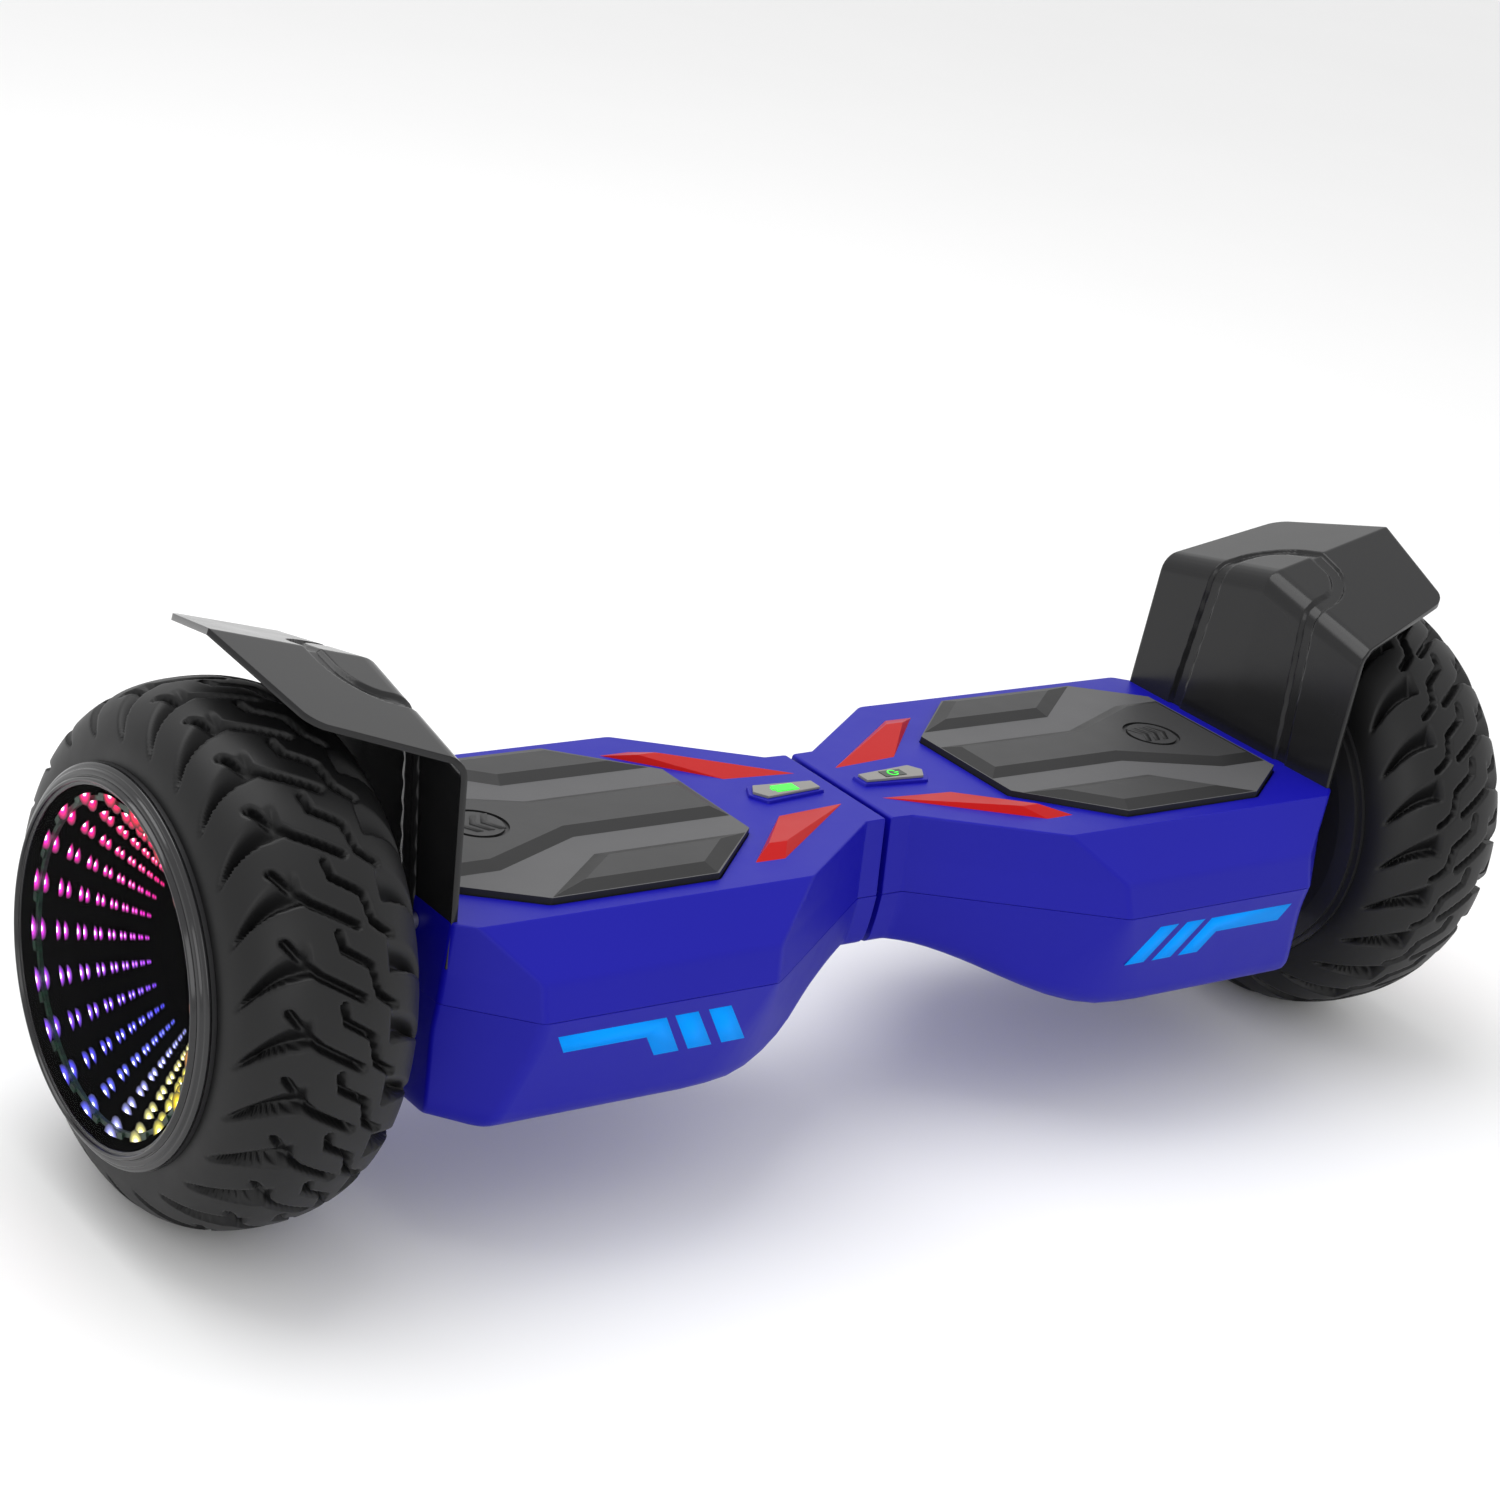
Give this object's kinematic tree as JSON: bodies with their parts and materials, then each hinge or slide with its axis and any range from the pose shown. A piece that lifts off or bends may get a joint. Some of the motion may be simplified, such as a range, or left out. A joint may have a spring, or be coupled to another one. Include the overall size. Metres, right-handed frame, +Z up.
{
  "type": "self balancing hoverboard",
  "caption": "Two-wheel self-balancing board: twisting shell halves, pressure foot pads, angular fenders, off-road tyres and hub motors with lit tunnel faces.",
  "frame": {"origin": "on the ground under the middle of the board, where the seam plane, the axle line's plane and the ground meet", "axes": "+X along the axle towards the right wheel, +Y across the deck towards the rear wall with the charging port, +Z up"},
  "size_m": [0.7124, 0.216, 0.2445],
  "materials": {
    "shell_blue": "satin moulded plastic, saturated royal blue",
    "trim_red": "gloss red insert",
    "plate_grey": "satin grey",
    "lens_green": "lit green lens",
    "pad_rubber": "fine-textured charcoal rubber",
    "soft_rubber": "matt black rubber",
    "circuit": "solder-masked circuit board",
    "screw_steel": "zinc-plated",
    "shaft_steel": "ground steel",
    "bearing_steel": "polished bearing steel",
    "cast_metal": "bead-blasted die casting",
    "fender_black": "gloss black",
    "laminations": "stacked electrical steel",
    "copper": "enamelled copper wire",
    "magnet": "nickel-plated",
    "hub_metal": "black painted casting",
    "tyre": "black treaded rubber",
    "tunnel_black": "deep black",
    "smoked_window": "smoked clear plastic",
    "trim_black": "gloss black",
    "bronze": "sintered bronze",
    "battery_wrap": "shrink-wrapped",
    "port_black": "moulded black",
    "wire": "sleeved wires",
    "button_grey": "satin grey"
  },
  "bodies": {
    "left_half": {"top_cover_left": "shell_blue", "bottom_cover_left": "shell_blue", "frame_left": "cast_metal", "red_trims_left": "trim_red", "indicator_plate_left": "plate_grey", "indicator_lens_left": "lens_green", "bump_stops_left": "soft_rubber", "sensor_board_left": "circuit", "screws_left": "screw_steel", "fender_left": "fender_black", "axle_left": "shaft_steel", "axle_clamp_left": "cast_metal", "inner_races_left": "bearing_steel", "stator_left": "laminations", "windings_left": "copper", "pivot_tube": "shaft_steel", "pivot_circlip": "screw_steel", "centre_harness": "wire", "control_board": "circuit", "speaker": "port_black"},
    "right_half": {"top_cover_right": "shell_blue", "bottom_cover_right": "shell_blue", "frame_right": "cast_metal", "red_trims_right": "trim_red", "indicator_plate_right": "plate_grey", "indicator_lens_right": "lens_green", "bump_stops_right": "soft_rubber", "sensor_board_right": "circuit", "screws_right": "screw_steel", "fender_right": "fender_black", "axle_right": "shaft_steel", "axle_clamp_right": "cast_metal", "inner_races_right": "bearing_steel", "stator_right": "laminations", "windings_right": "copper", "pivot_bush": "bronze", "battery_pack": "battery_wrap", "charge_socket": "port_black"},
    "left_wheel": {"bearings_left": "bearing_steel", "magnets_left": "magnet", "hub_shell_left": "hub_metal", "inner_hub_cover_left": "hub_metal", "tyre_left": "tyre", "lamp_ring_left": "circuit", "light_tunnel_left": "tunnel_black", "lamp_window_left": "smoked_window", "wheel_trim_left": "trim_black"},
    "right_wheel": {"bearings_right": "bearing_steel", "magnets_right": "magnet", "hub_shell_right": "hub_metal", "inner_hub_cover_right": "hub_metal", "tyre_right": "tyre", "lamp_ring_right": "circuit", "light_tunnel_right": "tunnel_black", "lamp_window_right": "smoked_window", "wheel_trim_right": "trim_black"},
    "left_pad": {"foot_pad_left": "pad_rubber"},
    "right_pad": {"foot_pad_right": "pad_rubber"},
    "button": {"power_button": "button_grey"},
    "cap": {"charge_cap": "soft_rubber"}
  },
  "joints": [
    {"name": "twist", "type": "hinge", "parent": "left_half", "child": "right_half", "pos_m": [0, 0, 0.108], "axis": [1, 0, 0], "range_deg": [-15, 15]},
    {"name": "left_wheel_spin", "type": "hinge", "parent": "left_half", "child": "left_wheel", "pos_m": [-0.307, 0, 0.108], "axis": [1, 0, 0], "continuous": true},
    {"name": "right_wheel_spin", "type": "hinge", "parent": "right_half", "child": "right_wheel", "pos_m": [0.307, 0, 0.108], "axis": [1, 0, 0], "continuous": true},
    {"name": "left_pad_press", "type": "slide", "parent": "left_half", "child": "left_pad", "axis": [0, 0, -1], "range_m": [0, 0.0012], "stiffness_N_per_m": 3000, "springref_m": -0.002},
    {"name": "right_pad_press", "type": "slide", "parent": "right_half", "child": "right_pad", "axis": [0, 0, -1], "range_m": [0, 0.0012], "stiffness_N_per_m": 3000, "springref_m": -0.002},
    {"name": "button_press", "type": "slide", "parent": "left_half", "child": "button", "axis": [0, -0.9768, 0.214], "range_m": [0, 0.0015], "stiffness_N_per_m": 400, "springref_m": -0.001},
    {"name": "cap_swing", "type": "hinge", "parent": "right_half", "child": "cap", "pos_m": [0.16, 0.09549, 0.09635], "axis": [1, 0, 0], "range_deg": [0, 110]}
  ]
}
